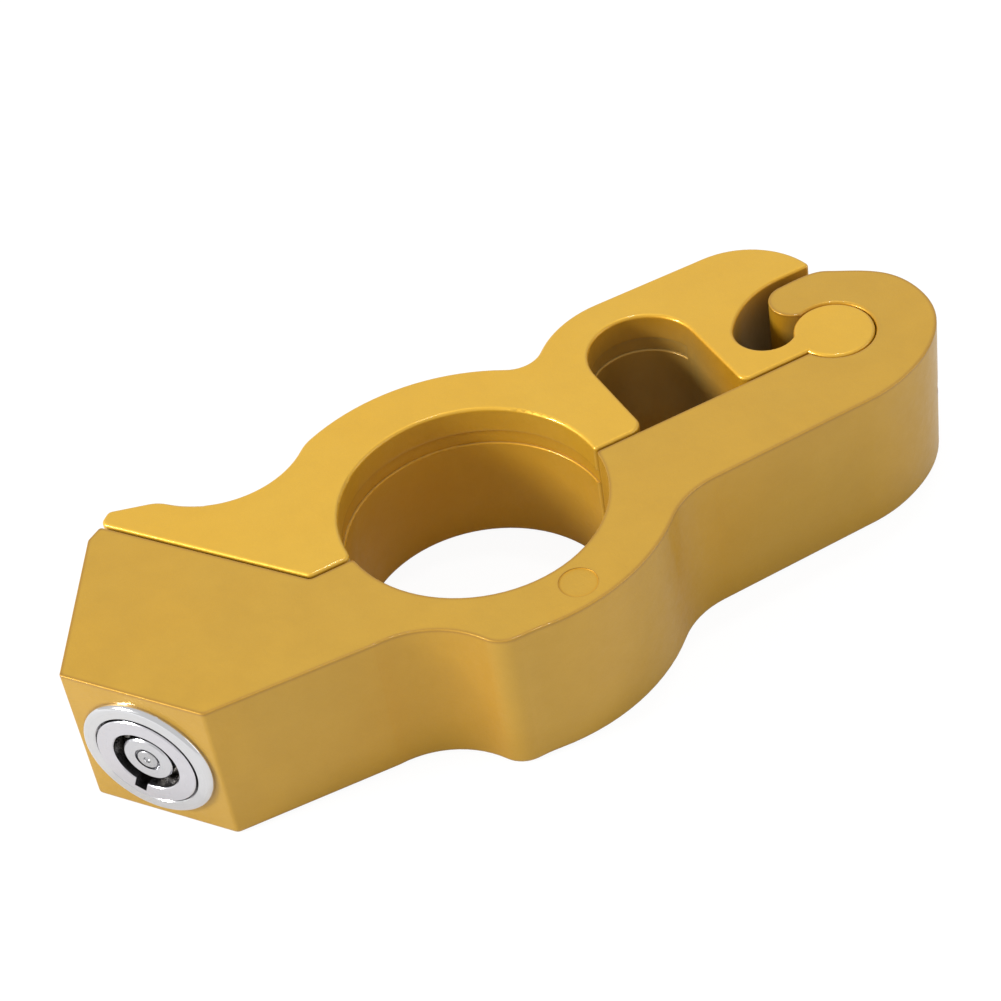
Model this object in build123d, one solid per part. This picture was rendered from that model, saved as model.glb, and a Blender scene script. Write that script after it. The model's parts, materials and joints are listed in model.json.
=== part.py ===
"""Trailer coupler lock: two gold castings that close into a ring, hinged at a hook, locked by a key.

Frame: millimetres, +Z up. The origin is the centre of the ring's bore at mid thickness. +X runs
from the bore to the hinge, and +Y from the front half (the body) to the rear half (the strap).
"""
import os
from math import cos, hypot, radians, sin

from build123d import *

# ---------------------------------------------------------------- driving dimensions, mm
THICKNESS = 23.2            # both castings, top face to bottom face
HALF = THICKNESS / 2
BORE_R = 18.0               # ring bore
BODY_EDGE_R = 0.2           # rounding of the body's top edges
STRAP_EDGE_R = 0.5          # rounding of the strap's top edges
LOW_EDGE_R = 0.9            # rounding of both castings' bottom edges
GAP = 0.5                   # clear space between the two halves
SPLIT_LOCK_Y = -0.5         # parting line between the housing and the bore
SPLIT_HINGE_Y = -1.3        # parting line between the bore and the hinge

HINGE = (57.1, 0.65)        # axis of the knuckle and its socket
KNUCKLE_R = 5.62
SOCKET_R = 5.74
SOCKET_RIM_R = 0.5          # rounding of the socket's top rim

# Lock housing in plan: a five-sided block. Its lock face and the face that meets the tongue are
# parallel, both square to the lock axis, which follows a 3-4-5 slope.
FACE_REAR = (-58.3, 2.45)   # rear end of the lock face
FACE_LENGTH = 21.2
HOUSING_DEPTH = 25.3        # lock face to tongue face
HOUSING_REAR = (-45.9, 23.6)
AXIS = (0.8, 0.6)           # lock axis in plan, pointing into the housing

# Lock cylinder, measured inwards from the lock face along the lock axis
BEZEL_R = 9.5
BEZEL_OUT = 0.9             # bezel face stands off the lock face
RECESS_R = 9.3              # seat of the gasket behind the bezel
RECESS_DEPTH = 0.9
SLEEVE_R = 8.65
SLEEVE_END = 10.8
BARREL_R = 7.4
BARREL_OUT = 1.05
RING_LINE = 0.17            # width of the groove between the barrel and the bezel
BARREL_END = 10.35
CAVITY_R = 5.6              # inside of the barrel
LIP_BACK = 1.3              # inner face of the barrel's front lip
KEYWAY_R = 4.8
POST_R = 3.55
POST_OUT = 0.6
ROTOR_FRONT = 1.4
SHEAR = 5.3                 # plane between the rotor and the pin block
BLOCK_END = 9.8
SPINDLE_R = 2.0
SPINDLE_END = 12.7
PIN_COUNT = 7
PIN_CIRCLE_R = 4.3
PIN_R = 0.65
PIN_HOLE_R = 0.69
PIN_TRAVEL = 1.0            # how far the key pushes the pins

# Bolt drive
DRUM_FRONT = 10.95
DRUM_END = 22.35
DRUM_R = 5.4
DRUM_WALL = 2.0             # end wall that sits on the spindle
DRUM_PIN_R = 0.75
GUIDE_R = 5.5
GUIDE_OUT_R = 6.6
GUIDE_END = 22.5
SHANK_R = 3.5
SHANK_BORE_R = 3.6
BOLT_START = 13.2
BOLT_END = 25.1
BOLT_THROW = 6.2
KEY_TURN = 90.0             # degrees of key turn that throw the bolt
FOLLOWER_R = 1.0
FOLLOWER_AT = 14.3
SLOT_R = 1.06               # half width of the slots round the follower
BUSH_R = 4.8
STRIKE_DEPTH = 32.2

FIT = 0.03                  # radial clearance of pieces that don't move on each other
OVERCUT = 0.5               # how far a cutter stands into open space


# ---------------------------------------------------------------- helpers
def unit(angle):
    """Unit vector in plan at an angle in degrees from +X."""
    return cos(radians(angle)), sin(radians(angle))


def from_hinge(radius, angle):
    """Point in plan at a radius and angle about the hinge axis."""
    ux, uy = unit(angle)
    return HINGE[0] + radius * ux, HINGE[1] + radius * uy


def disc_at(centre, radius):
    """Flat disc in plan."""
    return Pos(*centre) * Circle(radius)


def polygon(*points):
    """Flat face with straight sides through the points."""
    return make_face(Polyline(*points, close=True))


def round_corner(face, x, y, radius):
    """Round the corner of a flat face that lies nearest to (x, y)."""
    corner = min(face.vertices(), key=lambda v: hypot(v.X - x, v.Y - y))
    return fillet([corner], radius)


def casting(plan, top_edge):
    """Extrude a plan to the castings' thickness and round its top and bottom edges."""
    solid = Pos(0, 0, -HALF) * extrude(plan, THICKNESS)
    solid = fillet(solid.faces().sort_by(Axis.Z)[-1].edges(), top_edge)
    return fillet(solid.faces().sort_by(Axis.Z)[0].edges(), LOW_EDGE_R)


FACE_MIDDLE = (FACE_REAR[0] + AXIS[1] * FACE_LENGTH / 2, FACE_REAR[1] - AXIS[0] * FACE_LENGTH / 2)
LOCK = Location(Plane(origin=(*FACE_MIDDLE, 0), x_dir=(-AXIS[1], AXIS[0], 0), z_dir=(*AXIS, 0)))


def along_lock(depth, across=0.0):
    """Point in plan, depth along the lock axis from the lock face, across towards the rear."""
    return (FACE_MIDDLE[0] + AXIS[0] * depth - AXIS[1] * across,
            FACE_MIDDLE[1] + AXIS[1] * depth + AXIS[0] * across)


def turned(radius, start, end, inner=0.0):
    """Round bar or tube on the lock axis, in lock coordinates, from start to end."""
    bar = Pos(0, 0, start) * extrude(Circle(radius), end - start)
    if inner:
        bar -= Pos(0, 0, start) * extrude(Circle(inner), end - start)
    return bar


def cross_bar(radius, depth, reach):
    """Round bar through the lock axis along lock X, in lock coordinates."""
    return Pos(0, 0, depth) * Rot(0, 90, 0) * Cylinder(radius, 2 * reach)


def below_axis(radius, depth, low, high):
    """Round bar that stands under the lock axis, from low to high along lock Y."""
    return Pos(0, low, depth) * Rot(-90, 0, 0) * extrude(Circle(radius), high - low)


def ring_edges(solid, radius, depth):
    """Circular edges of a turned piece with a radius at a depth."""
    return [e for e in solid.edges().filter_by(GeomType.CIRCLE)
            if abs(e.radius - radius) < 0.01 and abs(e.center().Z - depth) < 0.01]


def around_lock(piece):
    """One copy of a piece for each pin; the gap between two pins is centred on lock +Y."""
    return [Rot(0, 0, 360 * (n + 0.25) / PIN_COUNT) * piece for n in range(PIN_COUNT)]


# ---------------------------------------------------------------- castings in plan
TONGUE_FACE = HOUSING_DEPTH + GAP          # strap's face that meets the housing
BODY_RING_AT = (0, 3.4)                    # outside of each half ring
BODY_RING_R = 29.4
STRAP_RING_AT = (-1.2, -3.0)
STRAP_RING_R = 29.5
BODY_SCOOP_AT = (-22.2, -29.1)             # hollow between the housing and the half ring
BODY_SCOOP_R = 12.9
BODY_FLAT_Y = -25.6                        # the half ring runs straight here towards that hollow
BODY_FLAT_END = -9.8
STRAP_SCOOP_AT = (-23.9, 32.4)             # hollow between the tongue and the half ring
STRAP_SCOOP_R = 13.25
WINDOW_MIDDLE = (33.5, 12.4)               # centre of the round end of the strap's window
WINDOW_R = 7.75
CHANNEL_R = 13.95                          # room round the hinge for the hook's nose
HOLLOW_R = 4.35                            # round blind end of that room, tangent to its arc
HOLLOW_ANGLE = 142.5
HOLLOW = from_hinge(CHANNEL_R - HOLLOW_R, HOLLOW_ANGLE)
FAR = 100.0                                # beyond the part's outline


def below(y):
    """Large plan region below a level line."""
    return Pos(0, y - FAR) * Rectangle(4 * FAR, 2 * FAR)


def above(y):
    """Large plan region above a level line."""
    return Pos(0, y + FAR) * Rectangle(4 * FAR, 2 * FAR)


def tongue_foot(depth, y):
    """Where the plane across the lock axis at a depth meets a level line."""
    return along_lock(depth, (y - along_lock(depth)[1]) / AXIS[0])


def body_plan():
    """Front half: housing, half ring, arm and hook."""
    lock_split = SPLIT_LOCK_Y - GAP / 2
    hinge_split = SPLIT_HINGE_Y - GAP / 2
    front_corner = along_lock(0, -FACE_LENGTH / 2)
    tongue_corner = along_lock(HOUSING_DEPTH, 19.8)
    inner_corner = tongue_foot(HOUSING_DEPTH, lock_split)
    plan = polygon(front_corner, FACE_REAR, HOUSING_REAR, tongue_corner, inner_corner,
                   (0, lock_split), (0, -17.9))
    plan += disc_at(BODY_RING_AT, BODY_RING_R) & below(hinge_split)
    plan += polygon((0, -20.0), (-12.0, -20.0), (-12.0, BODY_FLAT_Y), (0, BODY_FLAT_Y))

    arm_front = Line((0, -15.8), (53.0, -14.4))
    hook_back = Spline((53.0, -14.4), (59.9, -13.0), (66.2, -9.5), (70.6, -3.8), (71.4, 1.2),
                       (69.5, 7.0), (64.3, 11.4), (56.3, 12.95), tangents=[(1, 0.03), (-1, -0.06)])
    nose = ThreePointArc((56.3, 12.95), (52.6, 9.5), (55.6, 6.0))
    arm_rear = Polyline((55.6, 6.0), HINGE, (HINGE[0], hinge_split), (0, hinge_split), (0, -15.8))
    plan += make_face([arm_front, hook_back, nose, arm_rear])

    plan -= disc_at(BODY_SCOOP_AT, BODY_SCOOP_R)
    plan -= disc_at((0, 0), BORE_R)
    plan -= disc_at(HINGE, SOCKET_R)
    for x, y, radius in (
            (*front_corner, 1.0), (*FACE_REAR, 0.5), (*HOUSING_REAR, 1.2), (*tongue_corner, 0.5),
            (*inner_corner, 0.8), (-BORE_R, lock_split, 0.5), (BORE_R, hinge_split, 0.6),
            (BODY_FLAT_END, BODY_FLAT_Y, 4.2), (-4.8, BODY_FLAT_Y, 20.0), (22.6, -15.3, 12.6),
            (52.0, hinge_split, 0.4), (55.5, 6.2, 0.5)):
        plan = round_corner(plan, x, y, radius)
    return plan


def window():
    """Window of the strap in plan: a slot with a round end, open to the parting line."""
    x, y = WINDOW_MIDDLE
    return disc_at(WINDOW_MIDDLE, WINDOW_R) + Pos(x, y - 10) * Rectangle(2 * WINDOW_R, 20)


def strap_plan():
    """Rear half: tongue, half ring, window, neck and knuckle, and the horn over the hook."""
    lock_split = SPLIT_LOCK_Y + GAP / 2
    hinge_split = SPLIT_HINGE_Y + GAP / 2
    tip = along_lock(TONGUE_FACE, 20.2)
    foot = tongue_foot(TONGUE_FACE, lock_split)
    strap_side = polygon(foot, tip, (FAR, FAR), (FAR, lock_split))
    plan = polygon(foot, tip, (-41.5, 27.3), (-30.0, 23.3), (-8.0, 23.3), (-8.0, lock_split))
    plan += disc_at(STRAP_RING_AT, STRAP_RING_R) & above(lock_split) & strap_side
    plan -= disc_at(STRAP_SCOOP_AT, STRAP_SCOOP_R)

    lobe = polygon((0, hinge_split), (16.9, 5.0), (16.9, 25.9), (62.3, 25.0), (62.3, hinge_split))
    lobe = round_corner(lobe, 16.9, 25.9, 16.0)
    lobe = round_corner(lobe, 62.3, 25.0, 11.7)
    hook_room = disc_at(HINGE, CHANNEL_R)
    hook_room += Pos(HINGE[0] + 10, 14.6 - 20) * Rectangle(20, 40)
    neck = polygon((42.0, hinge_split), (53.0, hinge_split), HINGE, (53.35, 4.15), (52.25, 3.15),
                   HOLLOW, from_hinge(CHANNEL_R + 0.3, HOLLOW_ANGLE), (42.0, 9.3))
    lobe = lobe - hook_room + (neck - disc_at(HOLLOW, HOLLOW_R)) + disc_at(HINGE, KNUCKLE_R)
    plan += lobe
    plan -= disc_at((0, 0), BORE_R)
    plan -= window()
    for x, y, radius in (
            (*tip, 1.2), (-41.5, 27.3, 1.0), (-34.7, 24.9, 5.0), (*foot, 1.2),
            (-17.0, 21.7, 7.0), (18.6, 20.2, 4.5), (-BORE_R, lock_split, 1.2),
            (BORE_R, hinge_split, 0.6), (25.75, hinge_split, 2.0), (41.25, hinge_split, 1.5),
            (62.3, 14.6, 0.6), (53.2, 4.4, 0.5)):
        plan = round_corner(plan, x, y, radius)
    return plan


# ---------------------------------------------------------------- castings
SCREW_R = 2.0                              # M4 grub screws in the underside
SCREW_SOCKET_R = 1.15
SLEEVE_SCREW_AT = 7.5
GUIDE_SCREW_AT = 16.5
SCREW_HEAD = -HALF + 0.5
SCREW_ROOM = 0.8                           # hole runs this far past the screw's shoulder
SLEEVE_SHOULDER = -8.8
GUIDE_SHOULDER = -6.8
SLEEVE_DOG = (1.3, -6.75)                  # radius and tip height
GUIDE_DOG = (1.0, -5.7)
DOWEL_R = 1.5
DOWEL_ANGLE = -28.0
DOWEL_REACH = (4.85, 13.3)                 # inner and outer end, from the hinge axis
DOWEL_GROOVE_R = 4.55                      # bottom of the knuckle's groove
DOWEL_GROOVE_HALF = 1.65
GROOVE_TOP = 7.6                           # groove round the strap's bore and window
GROOVE_LOW = 5.0
GROOVE_DEPTH = 0.3
RELIEF_ARC = 156                           # degrees of the window's round end with the groove
EJECTOR_AT = (3.9, -21.5)                  # ejector pin's mark on the half ring
EJECTOR_R = 2.6
EJECTOR_DEPTH = 0.12


def dowel_bar(radius, start, end):
    """Round bar that points from the hinge axis through the hook, at mid height."""
    direction = (*unit(DOWEL_ANGLE), 0)
    return extrude(Plane(origin=(*from_hinge(start, DOWEL_ANGLE), 0), z_dir=direction)
                   * Circle(radius), end - start)


def ejector_mark():
    """Cutter for the shallow round mark that an ejector pin leaves in the top of the half ring."""
    mark = Pos(*EJECTOR_AT, HALF - EJECTOR_DEPTH) * extrude(Circle(EJECTOR_R), 1)
    return fillet(mark.edges().group_by(Axis.Z)[0], EJECTOR_DEPTH * 0.9)


def relief(wall):
    """Profile of a groove in a wall at a distance from Z, with a sharp top and a rounded lip."""
    back = wall + GROOVE_DEPTH
    lip_top = GROOVE_LOW + GROOVE_DEPTH
    lip_x = back - GROOVE_DEPTH * cos(radians(45))
    lip_z = GROOVE_LOW + GROOVE_DEPTH * sin(radians(45))
    return make_face([
        Polyline((wall, GROOVE_LOW), (wall - OVERCUT, GROOVE_LOW), (wall - OVERCUT, GROOVE_TOP),
                 (back, GROOVE_TOP), (back, lip_top)),
        ThreePointArc((back, lip_top), (lip_x, lip_z), (wall, GROOVE_LOW))])


def socket_rim():
    """Cutter that rounds the top rim of the knuckle's socket."""
    inner = SOCKET_R - OVERCUT
    outer = SOCKET_R + SOCKET_RIM_R
    low = HALF - SOCKET_RIM_R
    middle = (outer - SOCKET_RIM_R * sin(radians(45)), low + SOCKET_RIM_R * cos(radians(45)))
    profile = make_face([
        ThreePointArc((SOCKET_R, low), middle, (outer, HALF)),
        Polyline((outer, HALF), (outer, HALF + OVERCUT), (inner, HALF + OVERCUT), (inner, low),
                 (SOCKET_R, low))])
    return Pos(*HINGE) * revolve(Plane.XZ * profile, Axis.Z)


def window_relief():
    """Cutter for the groove in the window's round end."""
    start = (180 - RELIEF_ARC) / 2
    return Pos(*WINDOW_MIDDLE) * Rot(0, 0, start) * revolve(
        Plane.XZ * relief(WINDOW_R), Axis.Z, RELIEF_ARC)


def body_casting():
    """Front half with its lock bores, screw holes and dowel hole."""
    solid = casting(body_plan(), BODY_EDGE_R)
    cuts = turned(RECESS_R, -1, RECESS_DEPTH)
    cuts += turned(SLEEVE_R + FIT, -1, SLEEVE_END + 0.1)
    cuts += turned(GUIDE_OUT_R + FIT, -1, GUIDE_END + 0.1)
    cuts += turned(BUSH_R + FIT, -1, HOUSING_DEPTH + 2)
    cuts += below_axis(SCREW_R + FIT, SLEEVE_SCREW_AT, -HALF - 1, SLEEVE_SHOULDER + SCREW_ROOM)
    cuts += below_axis(SCREW_R + FIT, GUIDE_SCREW_AT, -HALF - 1, GUIDE_SHOULDER + SCREW_ROOM)
    solid -= LOCK * cuts
    solid -= dowel_bar(DOWEL_R + FIT, 5, 20)
    return solid - ejector_mark() - socket_rim()


def strap_casting():
    """Rear half with the relief in its bore and window, the bolt hole and the knuckle's groove."""
    solid = casting(strap_plan(), STRAP_EDGE_R)
    solid -= revolve(Plane.XZ * relief(BORE_R), Axis.Z)
    solid -= window_relief()
    solid -= LOCK * turned(BUSH_R + FIT, TONGUE_FACE - 2, STRIKE_DEPTH + 0.05)
    groove = Circle(KNUCKLE_R + 0.4) - Circle(DOWEL_GROOVE_R)
    solid -= Pos(*HINGE, -DOWEL_GROOVE_HALF) * extrude(groove, 2 * DOWEL_GROOVE_HALF)
    return solid


# ---------------------------------------------------------------- lock cylinder, lock coordinates
NOTCH_ANGLE = -69.0                        # key's index notch, seen from +X of the lock
NOTCH_WIDTH = 1.7
NOTCH_REACH = 6.3
FACE_CHAMFER = 0.13
BEZEL_RIM_R = 0.75
BARREL_PLAY = 0.05
STOP_R = 1.5
STOP_FRONT = -POST_OUT - 0.1
STOP_MOAT = 0.35                           # shallow groove round the insert
STOP_DIMPLE_R = 0.5
BLOCK_PIN_R = 0.75
BLOCK_PIN_AT = 7.4


def lock_sleeve():
    """Bezel and the tube behind it, with a hole for the screw's dog."""
    piece = turned(BEZEL_R, -BEZEL_OUT, 0) + turned(SLEEVE_R, -0.5, SLEEVE_END)
    piece -= turned(BARREL_R + BARREL_PLAY, -2, SLEEVE_END + 1)
    piece = fillet(ring_edges(piece, BEZEL_R, -BEZEL_OUT), BEZEL_RIM_R)
    piece = chamfer(ring_edges(piece, BARREL_R + BARREL_PLAY, -BEZEL_OUT), FACE_CHAMFER)
    piece -= below_axis(SLEEVE_DOG[0] + 0.1, SLEEVE_SCREW_AT, -10, -5)
    return piece


def lock_barrel():
    """Cup that holds the rotor and the pin block behind the keyway's lip."""
    front_r = BARREL_R - RING_LINE
    piece = turned(front_r, -BARREL_OUT, 1) + turned(BARREL_R, 0.6, BARREL_END)
    piece -= turned(CAVITY_R, LIP_BACK, BARREL_END + 1)
    piece -= turned(KEYWAY_R, -2, LIP_BACK + 1)
    piece = chamfer(ring_edges(piece, front_r, -BARREL_OUT), FACE_CHAMFER)
    piece = chamfer(ring_edges(piece, KEYWAY_R, -BARREL_OUT), FACE_CHAMFER)
    notch_middle = (KEYWAY_R - 0.6 + NOTCH_REACH) / 2
    notch = Pos(notch_middle, 0, LIP_BACK - 2) * Box(NOTCH_REACH - KEYWAY_R + 0.6, NOTCH_WIDTH, 4)
    piece -= Rot(0, 0, NOTCH_ANGLE) * notch
    piece -= below_axis(SLEEVE_DOG[0] + 0.1, SLEEVE_SCREW_AT, -10, -6.6)
    piece -= Pos(0, 0, BLOCK_PIN_AT) * Rot(-90, 0, 0) * extrude(Circle(BLOCK_PIN_R + FIT), 9)
    return piece


def rotor():
    """Post, pin flange and spindle in one piece, with a seat for the hard insert."""
    piece = turned(POST_R, -POST_OUT, ROTOR_FRONT + 1)
    piece = chamfer(ring_edges(piece, POST_R, -POST_OUT), 0.2)
    piece += turned(CAVITY_R - 0.06, ROTOR_FRONT, SHEAR - 0.03)
    piece += turned(SPINDLE_R, SHEAR - 1, SPINDLE_END)
    for hole in around_lock(Pos(PIN_CIRCLE_R, 0, 0) * turned(PIN_HOLE_R, ROTOR_FRONT, SHEAR)):
        piece -= hole
    piece -= turned(STOP_R + STOP_MOAT, -1, 0.1)
    piece -= turned(STOP_R + 0.02, -0.3, 3.0)
    piece -= Pos(0, 0, DRUM_FRONT + DRUM_WALL / 2) * Rot(90, 0, 0) * Cylinder(DRUM_PIN_R + 0.02, 6)
    return piece


def drill_stop():
    """Hard insert in the post, with a centre dimple."""
    piece = turned(STOP_R, STOP_FRONT, 2.95)
    piece = fillet(ring_edges(piece, STOP_R, STOP_FRONT), 0.25)
    piece -= Pos(0, 0, STOP_FRONT) * Sphere(STOP_DIMPLE_R)
    return piece


def key_pins():
    """Seven pins that the key pushes, with rounded tips."""
    pin = turned(PIN_R, ROTOR_FRONT + 0.02, SHEAR - PIN_TRAVEL - 0.05)
    pin = fillet(ring_edges(pin, PIN_R, ROTOR_FRONT + 0.02), 0.25)
    return around_lock(Pos(PIN_CIRCLE_R, 0, 0) * pin)


def pin_block():
    """Fixed block behind the rotor, bored for the driver pins and the spindle."""
    piece = turned(CAVITY_R - 0.03, SHEAR + 0.03, BLOCK_END, inner=SPINDLE_R + 0.05)
    for hole in around_lock(Pos(PIN_CIRCLE_R, 0, 0) * turned(PIN_HOLE_R, SHEAR, BLOCK_END - 0.5)):
        piece -= hole
    piece -= Pos(0, 0, BLOCK_PIN_AT) * Rot(-90, 0, 0) * Pos(0, 0, 4.2) * extrude(
        Circle(BLOCK_PIN_R + FIT), 4)
    return piece


def driver_pins():
    """Seven pins between the key pins and the springs."""
    pin = turned(PIN_R, SHEAR + 0.05, SHEAR + 2.0)
    return around_lock(Pos(PIN_CIRCLE_R, 0, 0) * pin)


def driver_springs():
    """Seven coil springs behind the driver pins."""
    start = SHEAR + 2.1
    height = BLOCK_END - 0.6 - start
    coil = Helix(pitch=height / 5, height=height - 0.1, radius=0.42)
    section = Plane(origin=coil @ 0, z_dir=coil % 0) * Circle(0.1)
    spring = Pos(PIN_CIRCLE_R, 0, start + 0.1) * sweep(section, path=coil, is_frenet=True)
    return around_lock(spring)


def block_pin():
    """Pin through the barrel's wall into the pin block, between two pin holes."""
    return Pos(0, 0, BLOCK_PIN_AT) * Rot(-90, 0, 0) * Pos(0, 0, 4.3) * extrude(
        Circle(BLOCK_PIN_R), BARREL_R - 4.35)


def bezel_gasket():
    """Rubber ring in the recess behind the bezel."""
    return turned(RECESS_R - FIT, 0, RECESS_DEPTH - FIT, inner=SLEEVE_R + 0.02)


# ---------------------------------------------------------------- bolt drive, lock coordinates
def thrust_washer():
    """Washer between the barrel and the drum."""
    return turned(5.3, BARREL_END + 0.03, DRUM_FRONT - 0.05, inner=SPINDLE_R + 0.1)


def helical_slot():
    """Cutter for one slot of the drum: it turns back by the key's turn over the bolt's throw."""
    lead = BOLT_THROW * 360 / KEY_TURN
    path = Helix(pitch=lead, height=BOLT_THROW, radius=SHANK_BORE_R, lefthand=True)
    side = Plane(origin=path @ 0, x_dir=(1, 0, 0), z_dir=path % 0)
    cutter = sweep(side * Pos(1.0, 0) * Rectangle(3.2, 2 * SLOT_R), path=path, is_frenet=True)
    end = Rot(0, 90, 0) * extrude(Circle(SLOT_R), DRUM_R + 1)
    cutter += end
    cutter += Pos(0, 0, BOLT_THROW) * Rot(0, 0, -KEY_TURN) * end
    return Pos(0, 0, FOLLOWER_AT) * cutter


def cam_drum():
    """Drum with two helical slots on the rotor's spindle."""
    piece = turned(DRUM_R, DRUM_FRONT, DRUM_END)
    piece -= turned(SHANK_BORE_R, DRUM_FRONT + DRUM_WALL, DRUM_END + 1)
    piece -= turned(SPINDLE_R + 0.02, DRUM_FRONT - 1, DRUM_FRONT + DRUM_WALL + 1)
    for half_turn in (0, 180):
        piece -= Rot(0, 0, half_turn) * helical_slot()
    piece -= Pos(0, 0, DRUM_FRONT + DRUM_WALL / 2) * Rot(90, 0, 0) * Cylinder(DRUM_PIN_R + 0.02, 12)
    return piece


def drum_pin():
    """Cross pin through the drum's end wall and the spindle."""
    middle = DRUM_FRONT + DRUM_WALL / 2
    return Pos(0, 0, middle) * Rot(90, 0, 0) * Cylinder(DRUM_PIN_R, 2 * DRUM_R - 0.4)


def guide_tube():
    """Fixed tube with two straight slots that stop the bolt from turning."""
    piece = turned(GUIDE_OUT_R, SLEEVE_END + 0.05, GUIDE_END, inner=GUIDE_R)
    slot = cross_bar(SLOT_R, FOLLOWER_AT, 8) + cross_bar(SLOT_R, FOLLOWER_AT + BOLT_THROW, 8)
    slot += Pos(0, 0, FOLLOWER_AT + BOLT_THROW / 2) * Box(16, 2 * SLOT_R, BOLT_THROW)
    piece -= slot
    piece -= below_axis(GUIDE_DOG[0] + 0.08, GUIDE_SCREW_AT, -8, -5)
    return piece


def lock_bolt():
    """Bolt with a chamfered tip and a cross hole for its pin."""
    piece = turned(SHANK_R, BOLT_START, BOLT_END)
    piece = chamfer(ring_edges(piece, SHANK_R, BOLT_END), 0.6)
    piece -= cross_bar(FOLLOWER_R + 0.02, FOLLOWER_AT, 5)
    return piece


def bolt_pin():
    """Pin through the bolt that rides in the slots of the drum and of the guide tube."""
    return cross_bar(FOLLOWER_R, FOLLOWER_AT, GUIDE_OUT_R - 0.1)


def bolt_bush():
    """Bush that guides the bolt through the housing's end wall."""
    return turned(BUSH_R, GUIDE_END + 0.15, HOUSING_DEPTH - 0.05, inner=SHANK_BORE_R)


def strike_bush():
    """Hard bush in the tongue that receives the bolt."""
    piece = turned(BUSH_R, TONGUE_FACE + 0.05, STRIKE_DEPTH, inner=SHANK_R + 0.25)
    return chamfer(ring_edges(piece, SHANK_R + 0.25, TONGUE_FACE + 0.05), 0.4)


def grub_screw(depth, shoulder, dog):
    """Grub screw in the underside, with a socket in its head and a dog point."""
    dog_r, dog_tip = dog
    piece = below_axis(SCREW_R, depth, SCREW_HEAD, shoulder)
    piece += below_axis(dog_r, depth, shoulder - 1, dog_tip)
    socket = Pos(0, SCREW_HEAD - 1, depth) * Rot(-90, 0, 0) * extrude(
        RegularPolygon(SCREW_SOCKET_R, 6), 2.6)
    return piece - socket


def knuckle_dowel():
    """Dowel in the hook whose inner end rides in the knuckle's groove."""
    return dowel_bar(DOWEL_R, *DOWEL_REACH)


# ---------------------------------------------------------------- write the nodes
def write(name, shape):
    """Write one node; a list of solids becomes one compound."""
    if isinstance(shape, list):
        shape = Compound(children=[item.solid() for item in shape])
    export_step(shape, f"parts/{name}.step")


os.makedirs("parts", exist_ok=True)
write("body_casting", body_casting())
write("strap_casting", strap_casting())
write("knuckle_dowel", knuckle_dowel())
ON_LOCK_AXIS = {
    "lock_sleeve": lock_sleeve(),
    "lock_barrel": lock_barrel(),
    "rotor": rotor(),
    "drill_stop": drill_stop(),
    "key_pins": key_pins(),
    "pin_block": pin_block(),
    "driver_pins": driver_pins(),
    "driver_springs": driver_springs(),
    "block_pin": block_pin(),
    "bezel_gasket": bezel_gasket(),
    "thrust_washer": thrust_washer(),
    "cam_drum": cam_drum(),
    "drum_pin": drum_pin(),
    "guide_tube": guide_tube(),
    "lock_bolt": lock_bolt(),
    "bolt_pin": bolt_pin(),
    "bolt_bush": bolt_bush(),
    "strike_bush": strike_bush(),
    "sleeve_screw": grub_screw(SLEEVE_SCREW_AT, SLEEVE_SHOULDER, SLEEVE_DOG),
    "guide_screw": grub_screw(GUIDE_SCREW_AT, GUIDE_SHOULDER, GUIDE_DOG),
}
for node, piece in ON_LOCK_AXIS.items():
    placed = [LOCK * item for item in piece] if isinstance(piece, list) else LOCK * piece
    write(node, placed)
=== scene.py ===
"""Looks of a trailer coupler lock: gold paint, chrome, steel, floor, lamps and camera.

Metres, +Z up, origin at the middle of the ring's bore. Noise scales are in features per millimetre.
"""
import json
import math

import bpy
from mathutils import Matrix, Vector


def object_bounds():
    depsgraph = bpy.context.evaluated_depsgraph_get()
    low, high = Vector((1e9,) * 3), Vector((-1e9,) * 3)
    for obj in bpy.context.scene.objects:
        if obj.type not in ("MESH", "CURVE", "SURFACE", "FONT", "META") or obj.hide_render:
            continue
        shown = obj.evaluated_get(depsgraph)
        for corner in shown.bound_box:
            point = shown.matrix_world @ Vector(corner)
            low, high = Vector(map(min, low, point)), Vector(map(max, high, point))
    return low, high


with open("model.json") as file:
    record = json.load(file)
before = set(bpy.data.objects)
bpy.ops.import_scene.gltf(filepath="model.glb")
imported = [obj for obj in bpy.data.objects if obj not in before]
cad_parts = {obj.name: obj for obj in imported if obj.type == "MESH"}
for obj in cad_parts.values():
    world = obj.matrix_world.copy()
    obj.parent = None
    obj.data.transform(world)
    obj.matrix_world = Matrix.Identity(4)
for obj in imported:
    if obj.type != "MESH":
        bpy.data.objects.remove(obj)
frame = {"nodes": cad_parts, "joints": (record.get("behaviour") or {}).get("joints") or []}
cad_low, cad_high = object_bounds()

MM = 0.001
LOCK_AXIS = Vector((0.8, 0.6, 0.0))
ROTOR_JOINT = next(j for j in frame["joints"] if j["name"] == "key_turn")
LOCK_CENTRE = Vector(ROTOR_JOINT["pos_m"])


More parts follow.
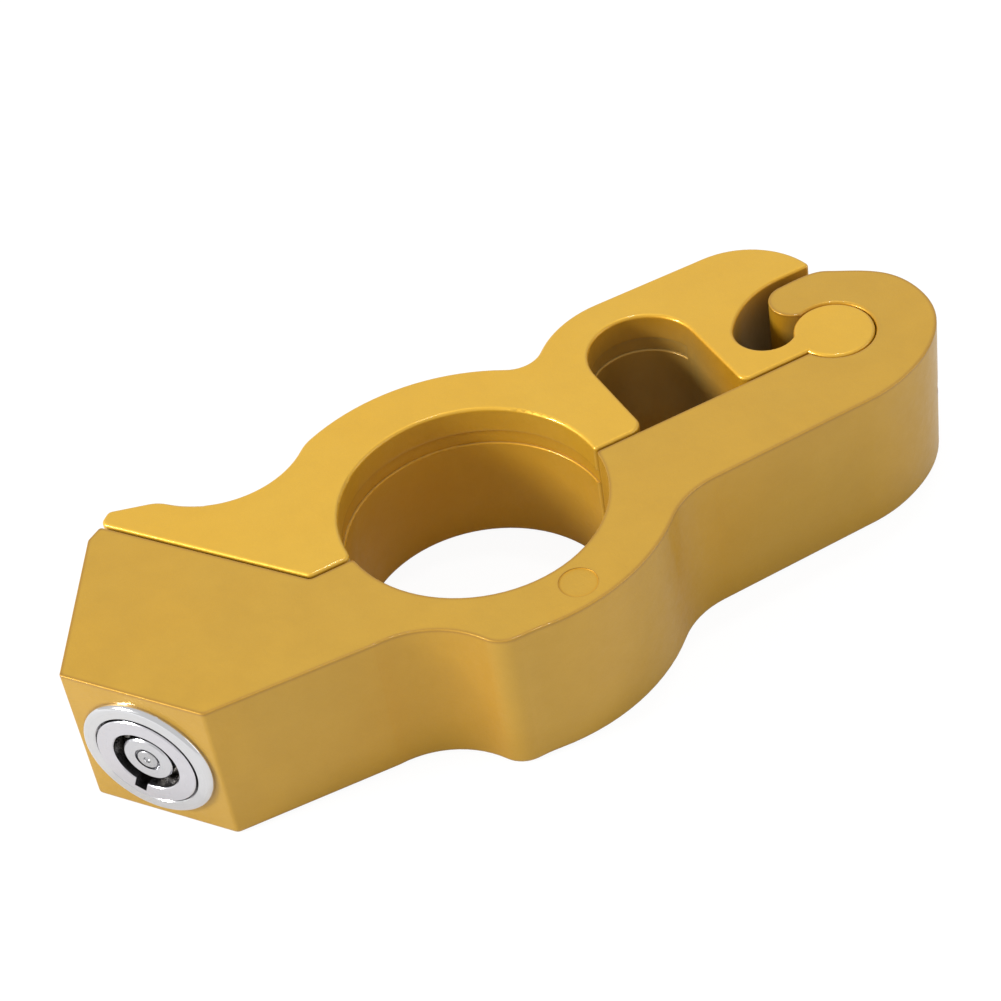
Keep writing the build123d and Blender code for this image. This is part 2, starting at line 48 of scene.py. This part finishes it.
# ---------------------------------------------------------------- node helpers
class Graph:
    """One material's node tree, with short calls for the nodes that the looks use."""

    def __init__(self, name):
        self.material = bpy.data.materials.new(name)
        self.material.use_nodes = True
        self.tree = self.material.node_tree
        self.tree.nodes.clear()
        self.output = self.add("ShaderNodeOutputMaterial")
        self.shader = self.add("ShaderNodeBsdfPrincipled")
        self.join(self.shader.outputs["BSDF"], self.output.inputs["Surface"])
        coords = self.add("ShaderNodeTexCoord")
        scale = self.add("ShaderNodeMapping")
        scale.inputs["Scale"].default_value = (1 / MM,) * 3
        self.join(coords.outputs["Object"], scale.inputs["Vector"])
        self.place = scale.outputs["Vector"]

    def add(self, kind, **settings):
        node = self.tree.nodes.new(kind)
        for key, value in settings.items():
            setattr(node, key, value)
        return node

    def join(self, source, target):
        self.tree.links.new(source, target)

    def feed(self, node, **values):
        """Set or link a node's inputs by name, with underscores for spaces."""
        for key, value in values.items():
            socket = node.inputs[key.replace("_", " ")]
            if isinstance(value, bpy.types.NodeSocket):
                self.join(value, socket)
            else:
                socket.default_value = value
        return node

    def noise(self, scale, detail=3.0, roughness=0.5, at=None, dimensions="3D"):
        node = self.add("ShaderNodeTexNoise", noise_dimensions=dimensions)
        self.feed(node, Scale=scale, Detail=detail, Roughness=roughness)
        if dimensions == "1D":
            self.join(at, node.inputs["W"])
        else:
            self.join(at or self.place, node.inputs["Vector"])
        return node.outputs["Fac"]

    def spread(self, value, low, high, to_low, to_high):
        """Map a value from one range to another, clamped."""
        node = self.add("ShaderNodeMapRange")
        self.feed(node, Value=value, From_Min=low, From_Max=high, To_Min=to_low, To_Max=to_high)
        return node.outputs["Result"]

    def math(self, kind, first, second=0.0):
        node = self.add("ShaderNodeMath", operation=kind)
        for socket, value in zip(node.inputs, (first, second)):
            if isinstance(value, bpy.types.NodeSocket):
                self.join(value, socket)
            else:
                socket.default_value = value
        return node.outputs["Value"]

    def blend(self, factor, first, second):
        """Mix two colours by a factor."""
        node = self.add("ShaderNodeMix", data_type="RGBA")
        for index, value in ((0, factor), (6, first), (7, second)):
            if isinstance(value, bpy.types.NodeSocket):
                self.join(value, node.inputs[index])
            else:
                node.inputs[index].default_value = (*value, 1) if index else value
        return node.outputs[2]

    def bump(self, height, distance, strength=1.0, normal=None):
        node = self.add("ShaderNodeBump")
        self.feed(node, Height=height, Distance=distance, Strength=strength)
        if normal is not None:
            self.join(normal, node.inputs["Normal"])
        return node.outputs["Normal"]

    def openness(self, reach, inside=False):
        """How open the surface is within a reach: 1 on flats, less in hollows.

        Seen from inside the metal it is 1 on flats and less on outside edges.
        """
        node = self.add("ShaderNodeAmbientOcclusion", samples=10, only_local=True, inside=inside)
        return self.feed(node, Distance=reach).outputs["AO"]

    def from_lock_face(self):
        """Vector from the middle of the lock face in millimetres."""
        offset = self.add("ShaderNodeVectorMath", operation="SUBTRACT")
        self.join(self.place, offset.inputs[0])
        offset.inputs[1].default_value = LOCK_CENTRE / MM
        return offset

    def lock_depth(self):
        """Distance inwards from the lock face in millimetres."""
        depth = self.add("ShaderNodeVectorMath", operation="DOT_PRODUCT")
        self.join(self.from_lock_face().outputs["Vector"], depth.inputs[0])
        depth.inputs[1].default_value = LOCK_AXIS
        return depth.outputs["Value"]

    def lock_radius(self):
        """Distance from the lock axis in millimetres."""
        offset = self.from_lock_face()
        along = self.add("ShaderNodeVectorMath", operation="PROJECT")
        self.join(offset.outputs["Vector"], along.inputs[0])
        along.inputs[1].default_value = LOCK_AXIS
        away = self.add("ShaderNodeVectorMath", operation="DISTANCE")
        self.join(offset.outputs["Vector"], away.inputs[0])
        self.join(along.outputs["Vector"], away.inputs[1])
        return away.outputs["Value"]


def principled(graph, **values):
    """Set or link the inputs of the graph's surface shader."""
    graph.feed(graph.shader, **values)


# ---------------------------------------------------------------- materials
EDGE_BROWN = (0.24, 0.105, 0.008)        # thin coat over outside edges
PAINTED_BOUNCE_ORANGE = (0.47, 0.216, 0.003)     # painted reflected light: orange bounce between the walls of shallow hollows
PAINTED_SHADE_BROWN = (0.220, 0.210, 0.098)     # painted shade in deep, narrow hollows
HOLLOW_REACH = 25.0 * MM                 # how far round a point its openness is judged
SHALLOW = (0.78, 0.985)                  # openness from full orange to none
DEEP = (0.35, 0.72)                      # openness from full brown to none
FLAKE_SHADE = 0.55                       # brightness of a dark flake against the paint
PEEL_HEIGHT = 0.12 * MM                  # orange peel in the paint
COAT_PEEL_HEIGHT = 0.06 * MM             # what is left of it in the gloss coat
GRAIN_HEIGHT = 0.022 * MM
# Painted shade colours for the metal deep in the keyway.
KEYWAY_SHADE_DARK = (0.03, 0.027, 0.022)
KEYWAY_SHADE_LIGHT = (0.06, 0.052, 0.04)


def gold_paint(name, light, deep, warm, edge_width, edge_depth, edge_gloss):
    """Satin gold paint on cast metal: slow colour drift, fine flake, orange peel and browner edges, with
    painted orange reflected light in shallow hollows and painted shade in deep ones.

    The edge's width is how far from an edge it turns brown, its depth and gloss are how much.
    """
    g = Graph(name)
    drift = g.spread(g.noise(0.045, 2.0), 0.35, 0.65, 0.0, 1.0)
    patches = g.spread(g.noise(0.16, 4.0, 0.6), 0.38, 0.66, 0.0, 1.0)
    flake = g.spread(g.noise(7.0, 2.0, 0.7), 0.35, 0.7, 0.0, 1.0)
    colour = g.blend(drift, light, warm)
    colour = g.blend(g.math("MULTIPLY", patches, 0.35), colour, deep)
    colour = g.blend(g.math("MULTIPLY", flake, 0.12), colour, tuple(FLAKE_SHADE * c for c in light))
    hollow = g.openness(HOLLOW_REACH)
    # Painted reflected light: shallow hollows tinted orange for the light their walls bounce into each
    # other.
    colour = g.blend(g.spread(hollow, *SHALLOW, 0.95, 0.0), colour, PAINTED_BOUNCE_ORANGE)
    # Painted shade: deep, narrow hollows darkened towards a dull brown.
    colour = g.blend(g.spread(hollow, *DEEP, 0.65, 0.0), colour, PAINTED_SHADE_BROWN)
    edge = g.openness(edge_width, inside=True)
    colour = g.blend(g.spread(edge, 0.55, 0.93, edge_depth, 0.0), colour, EDGE_BROWN)
    gloss = g.math("ADD", g.spread(hollow, *SHALLOW, 0.03, 0.4), g.spread(edge, 0.6, 0.97, edge_gloss, 0.0))
    rough = g.spread(g.noise(0.5, 5.0, 0.65), 0.3, 0.7, 0.40, 0.52)
    peel = g.noise(1.1, 3.0, 0.55)
    grain = g.noise(5.5, 2.0, 0.6)
    normal = g.bump(grain, GRAIN_HEIGHT, 0.35, g.bump(peel, PEEL_HEIGHT, 0.3))
    principled(g, Base_Color=colour, Roughness=rough, Metallic=0.42, Normal=normal,
               Coat_Weight=g.math("MINIMUM", gloss, 1.0), Coat_Roughness=0.08, Coat_IOR=1.5,
               Coat_Normal=g.bump(peel, COAT_PEEL_HEIGHT, 0.3), Specular_IOR_Level=0.28)
    return g.material


def turned_metal(name, colour, shade, roughness, grooves, shade_depths=None):
    """Bright metal turned about the lock axis, with fine circular grooves and faint smears.

    Shade depths are a pair of depths behind the lock face between which the metal is painted darker, as
    painted shade in the keyway.
    """
    g = Graph(name)
    radius = g.lock_radius()
    lines = g.noise(grooves, 3.0, 0.7, radius, "1D")
    smear = g.spread(g.noise(0.8, 4.0, 0.6), 0.35, 0.7, 0.0, 1.0)
    tint = g.blend(g.math("MULTIPLY", g.spread(lines, 0.35, 0.65, 0.0, 1.0), 0.4), colour, shade)
    tint = g.blend(g.math("MULTIPLY", smear, 0.25), tint, shade)
    if shade_depths:
        # Painted shade: the metal darkens with depth behind the lock face, for the keyway's shade.
        depth_shade = g.spread(g.lock_depth(), *shade_depths, 0.0, 1.0)
        tint = g.blend(depth_shade, tint, g.blend(smear, KEYWAY_SHADE_DARK, KEYWAY_SHADE_LIGHT))
    rough = g.spread(g.math("ADD", g.math("MULTIPLY", lines, 0.6), g.math("MULTIPLY", smear, 0.4)),
                     0.25, 0.8, roughness * 0.75, roughness * 1.35)
    principled(g, Base_Color=tint, Roughness=rough, Metallic=1.0,
               Normal=g.bump(lines, 0.02 * MM, 0.25))
    return g.material


def plain_metal(name, colour, shade, roughness, metallic=1.0):
    """Ground or blackened metal with fine scratches along no special way."""
    g = Graph(name)
    marks = g.noise(2.4, 6.0, 0.7)
    cloud = g.spread(g.noise(0.4, 3.0), 0.3, 0.7, 0.0, 1.0)
    tint = g.blend(g.math("MULTIPLY", cloud, 0.6), colour, shade)
    rough = g.spread(marks, 0.3, 0.7, roughness * 0.8, roughness * 1.25)
    principled(g, Base_Color=tint, Roughness=rough, Metallic=metallic,
               Normal=g.bump(marks, 0.01 * MM, 0.3))
    return g.material


def rubber(name):
    """Black seal rubber with a faint bloom."""
    g = Graph(name)
    bloom = g.spread(g.noise(0.7, 4.0, 0.6), 0.35, 0.75, 0.0, 1.0)
    colour = g.blend(g.math("MULTIPLY", bloom, 0.5), (0.012, 0.012, 0.012), (0.045, 0.045, 0.043))
    rough = g.spread(g.noise(3.0, 4.0), 0.3, 0.7, 0.55, 0.8)
    principled(g, Base_Color=colour, Roughness=rough, Normal=g.bump(g.noise(4.0, 3.0), 0.02 * MM, 0.3))
    return g.material


body_gold = gold_paint("gold_body", (0.435, 0.252, 0.023), (0.395, 0.219, 0.016), (0.455, 0.257, 0.020),
                       edge_width=0.7 * MM, edge_depth=0.85, edge_gloss=0.15)
strap_gold = gold_paint("gold_strap", (0.55, 0.322, 0.026), (0.51, 0.288, 0.019), (0.56, 0.319, 0.022),
                        edge_width=0.45 * MM, edge_depth=0.15, edge_gloss=0.7)
chrome = turned_metal("satin_chrome", (0.62, 0.62, 0.63), (0.54, 0.54, 0.55), 0.14, 5.0)
barrel_chrome = turned_metal("barrel_chrome", (0.60, 0.59, 0.62), (0.53, 0.52, 0.55), 0.22, 6.0,
                             shade_depths=(0.1, 1.0))
post_steel = turned_metal("post_steel", (0.58, 0.58, 0.60), (0.47, 0.47, 0.49), 0.22, 6.0,
                          shade_depths=(-0.2, 1.2))
hard_steel = turned_metal("hard_steel", (0.50, 0.50, 0.51), (0.34, 0.34, 0.35), 0.28, 7.0)
pin_steel = plain_metal("pin_steel", (0.34, 0.33, 0.30), (0.20, 0.19, 0.17), 0.3)
ground_steel = plain_metal("ground_steel", (0.58, 0.58, 0.60), (0.44, 0.44, 0.46), 0.3)
black_steel = plain_metal("black_steel", (0.06, 0.06, 0.065), (0.03, 0.03, 0.032), 0.42, 0.8)
spring_wire = plain_metal("spring_wire", (0.6, 0.6, 0.62), (0.5, 0.5, 0.52), 0.25)
brass = turned_metal("turned_brass", (0.78, 0.58, 0.25), (0.62, 0.44, 0.16), 0.26, 5.0)
seal = rubber("seal_rubber")

LOOKS = {
    "body_casting": body_gold,
    "strap_casting": strap_gold,
    "lock_sleeve": chrome,
    "lock_barrel": barrel_chrome,
    "rotor": post_steel,
    "drill_stop": hard_steel,
    "key_pins": pin_steel,
    "pin_block": brass,
    "driver_pins": brass,
    "driver_springs": spring_wire,
    "block_pin": ground_steel,
    "bezel_gasket": seal,
    "thrust_washer": brass,
    "cam_drum": ground_steel,
    "drum_pin": hard_steel,
    "guide_tube": ground_steel,
    "lock_bolt": hard_steel,
    "bolt_pin": hard_steel,
    "bolt_bush": brass,
    "strike_bush": hard_steel,
    "sleeve_screw": black_steel,
    "guide_screw": black_steel,
    "knuckle_dowel": ground_steel,
}
for node, material in LOOKS.items():
    mesh = frame["nodes"][node].data
    mesh.materials.clear()
    mesh.materials.append(material)


# ---------------------------------------------------------------- floor, light, camera
FLOOR_GLOW = 0.93                        # light that the camera sees coming through the paper
FLOOR_SHADE = 0.08                       # how strongly the object's shadow shows on it
FLOOR_REACH = 6.0
FLOOR_GAP = 0.02 * MM
WORLD_LIGHT = 0.90
LAMP_DISTANCE = 1.2


def floor_material():
    """Pale paper with a faint tooth, lit from behind for the camera so that it stays near white."""
    g = Graph("pale_floor")
    tooth = g.noise(0.5, 3.0)
    colour = g.blend(tooth, (0.67, 0.67, 0.67), (0.69, 0.69, 0.69))
    principled(g, Base_Color=colour, Roughness=0.9, Specular_IOR_Level=0.0)
    glow = g.feed(g.add("ShaderNodeEmission"), Color=(1, 1, 1, 1), Strength=FLOOR_GLOW)
    faint = g.feed(g.add("ShaderNodeBsdfDiffuse"), Color=(FLOOR_SHADE,) * 3 + (1,))
    seen = g.add("ShaderNodeAddShader")
    g.join(glow.outputs["Emission"], seen.inputs[0])
    g.join(faint.outputs["BSDF"], seen.inputs[1])
    choice = g.add("ShaderNodeMixShader")
    g.join(g.add("ShaderNodeLightPath").outputs["Is Camera Ray"], choice.inputs[0])
    g.join(g.shader.outputs["BSDF"], choice.inputs[1])
    g.join(seen.outputs["Shader"], choice.inputs[2])
    g.join(choice.outputs["Shader"], g.output.inputs["Surface"])
    return g.material


def make_floor(height, reach):
    mesh = bpy.data.meshes.new("floor")
    corners = [(-reach, -reach, height), (reach, -reach, height), (reach, reach, height),
               (-reach, reach, height)]
    mesh.from_pydata(corners, [], [(0, 1, 2, 3)])
    mesh.materials.append(floor_material())
    floor = bpy.data.objects.new("floor", mesh)
    bpy.context.scene.collection.objects.link(floor)


def softbox(name, direction, size, power):
    """Square area light in a direction from the object, aimed at it."""
    data = bpy.data.lights.new(name, "AREA")
    data.shape = "SQUARE"
    data.size = size
    data.energy = power
    lamp = bpy.data.objects.new(name, data)
    away = Vector(direction).normalized()
    lamp.location = away * LAMP_DISTANCE
    lamp.rotation_mode = "QUATERNION"
    lamp.rotation_quaternion = away.to_track_quat("Z", "Y")
    bpy.context.scene.collection.objects.link(lamp)


make_floor(cad_low.z - FLOOR_GAP, FLOOR_REACH)

world = bpy.data.worlds.new("studio")
world.use_nodes = True
sky = world.node_tree.nodes["Background"]
sky.inputs["Color"].default_value = (1, 1, 1, 1)
sky.inputs["Strength"].default_value = WORLD_LIGHT
bpy.context.scene.world = world

softbox("left_lamp", (-0.87, 0.15, 0.45), size=0.316, power=17.5)
softbox("top_lamp", (0.18, 0.15, 0.97), size=0.10, power=3.0)
softbox("right_fill", (0.78, -0.58, 0.24), size=0.8, power=3.4)

AZIMUTH = math.radians(-21.6)
ELEVATION = math.radians(42.7)
ROLL = math.radians(-9.8)
FOCAL_LENGTH = 95.3                    # mm, on a 36 mm sensor
BORE_DISTANCE = 348.6 * MM             # camera to the middle of the bore's top rim, along the view
BORE_OFFSET = Vector((-3.68, 0.12)) * MM   # that point's place right of and above the picture's centre


def add_camera():
    """Camera that looks down on the front left of the part, rolled as a hand-held shot is."""
    back = Vector((math.sin(AZIMUTH) * math.cos(ELEVATION), -math.cos(AZIMUTH) * math.cos(ELEVATION),
                   math.sin(ELEVATION)))
    level = Vector((0, 0, 1)).cross(back).normalized()
    upright = back.cross(level)
    right = math.cos(ROLL) * level + math.sin(ROLL) * upright
    up = -math.sin(ROLL) * level + math.cos(ROLL) * upright
    rim = Vector((0, 0, cad_high.z))
    place = rim - BORE_OFFSET.x * right - BORE_OFFSET.y * up + BORE_DISTANCE * back
    data = bpy.data.cameras.new("camera")
    data.lens = FOCAL_LENGTH
    data.sensor_width = 36.0
    data.clip_start = 0.01
    data.clip_end = 50.0
    camera = bpy.data.objects.new("camera", data)
    turn = Matrix((right, up, back)).transposed().to_4x4()
    camera.matrix_world = Matrix.Translation(place) @ turn
    bpy.context.scene.collection.objects.link(camera)
    bpy.context.scene.camera = camera


add_camera()
bpy.context.scene.view_settings.view_transform = "Standard"
bpy.context.scene.view_settings.look = "None"
